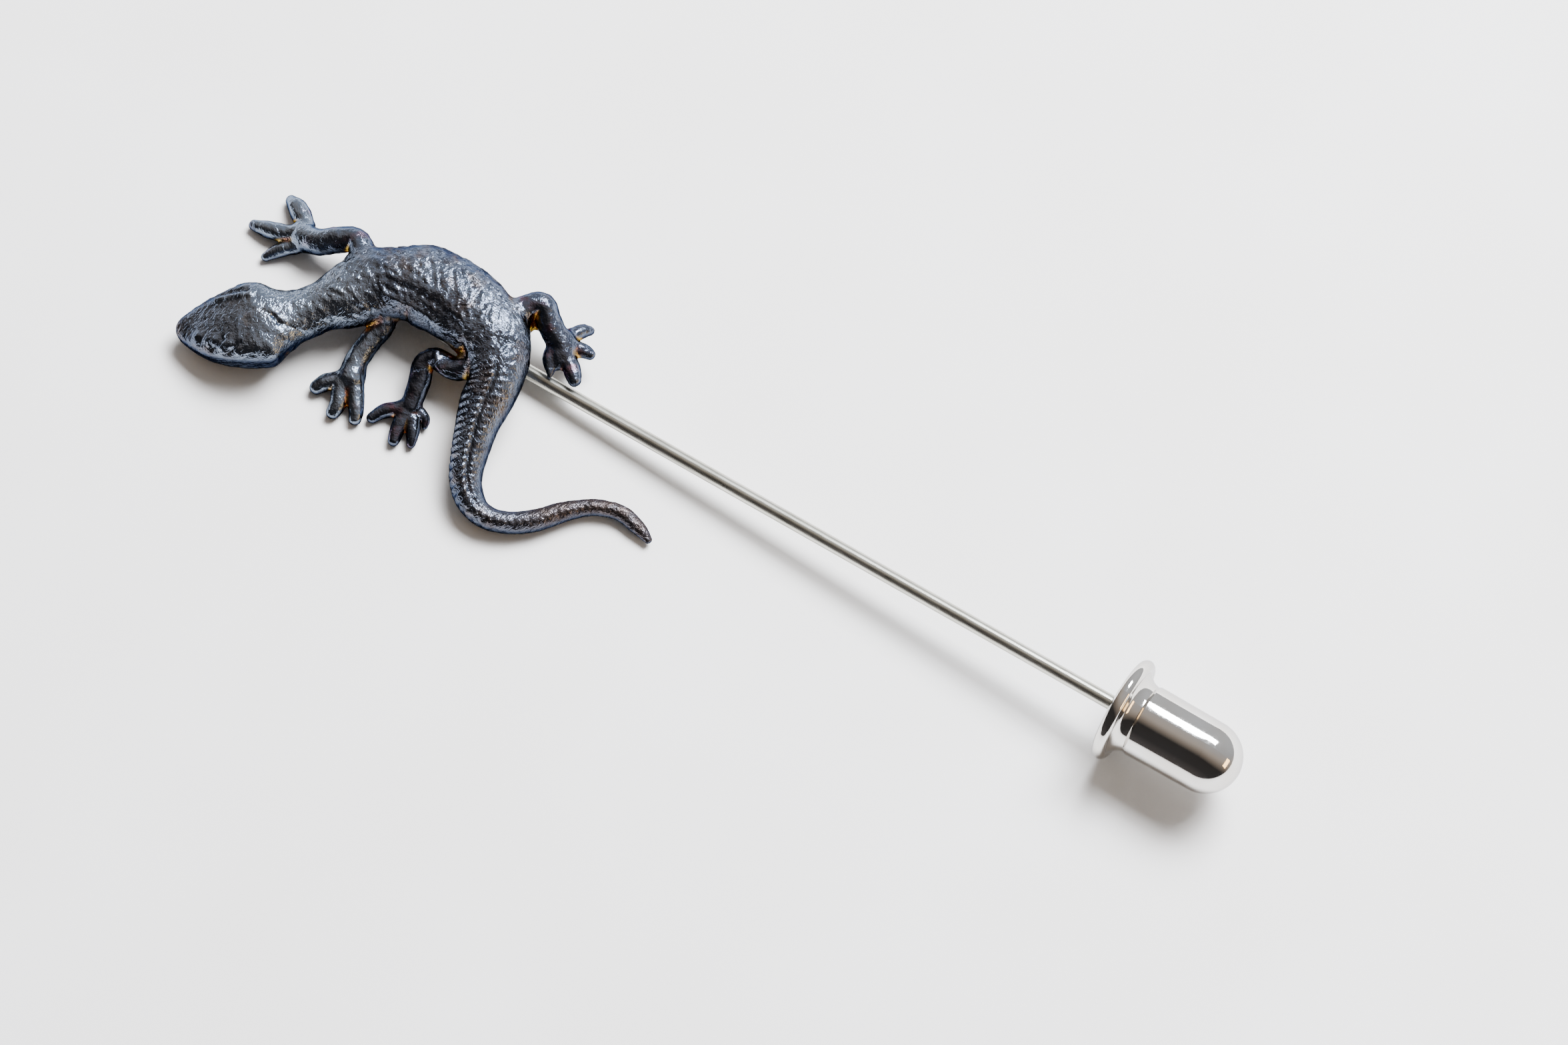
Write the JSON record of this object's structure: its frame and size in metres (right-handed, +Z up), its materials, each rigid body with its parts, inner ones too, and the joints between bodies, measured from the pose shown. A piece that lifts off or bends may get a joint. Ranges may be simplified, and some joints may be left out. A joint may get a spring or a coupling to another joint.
{
  "type": "hat pin",
  "caption": "Stick pin for a hat or lapel with a small cast lizard soldered to a straight wire, and a push-on bullet clutch that covers the point.",
  "frame": {"origin": "middle of the bounding box's underside, on the table that the pin lies on", "axes": "+X along the wire from the lizard to the point, +Z up from the table, +Y towards the lizard's left flank"},
  "size_m": [0.076, 0.0158, 0.0071],
  "materials": {
    "patinated_casting": "satin",
    "pin_steel": "satin",
    "solder": "satin",
    "clutch_nickel": "polished",
    "washer_brass": "satin",
    "grip_rubber": "matte"
  },
  "bodies": {
    "pin": {"lizard_casting": "patinated_casting", "pin_wire": "pin_steel", "solder_bead": "solder"},
    "clutch_sleeve": {"clutch_grip": "grip_rubber"},
    "clutch_cap": {"clutch_shell": "clutch_nickel", "clutch_washer": "washer_brass"}
  },
  "joints": [
    {"name": "clutch_slide", "type": "slide", "parent": "pin", "child": "clutch_sleeve", "axis": [0.9986, 0, 0.0538], "range_m": [0, 0.016]},
    {"name": "clutch_spin", "type": "hinge", "parent": "clutch_sleeve", "child": "clutch_cap", "pos_m": [0.03312, 0.00303, 0.00376], "axis": [0.9986, 0, 0.0538], "continuous": true}
  ]
}
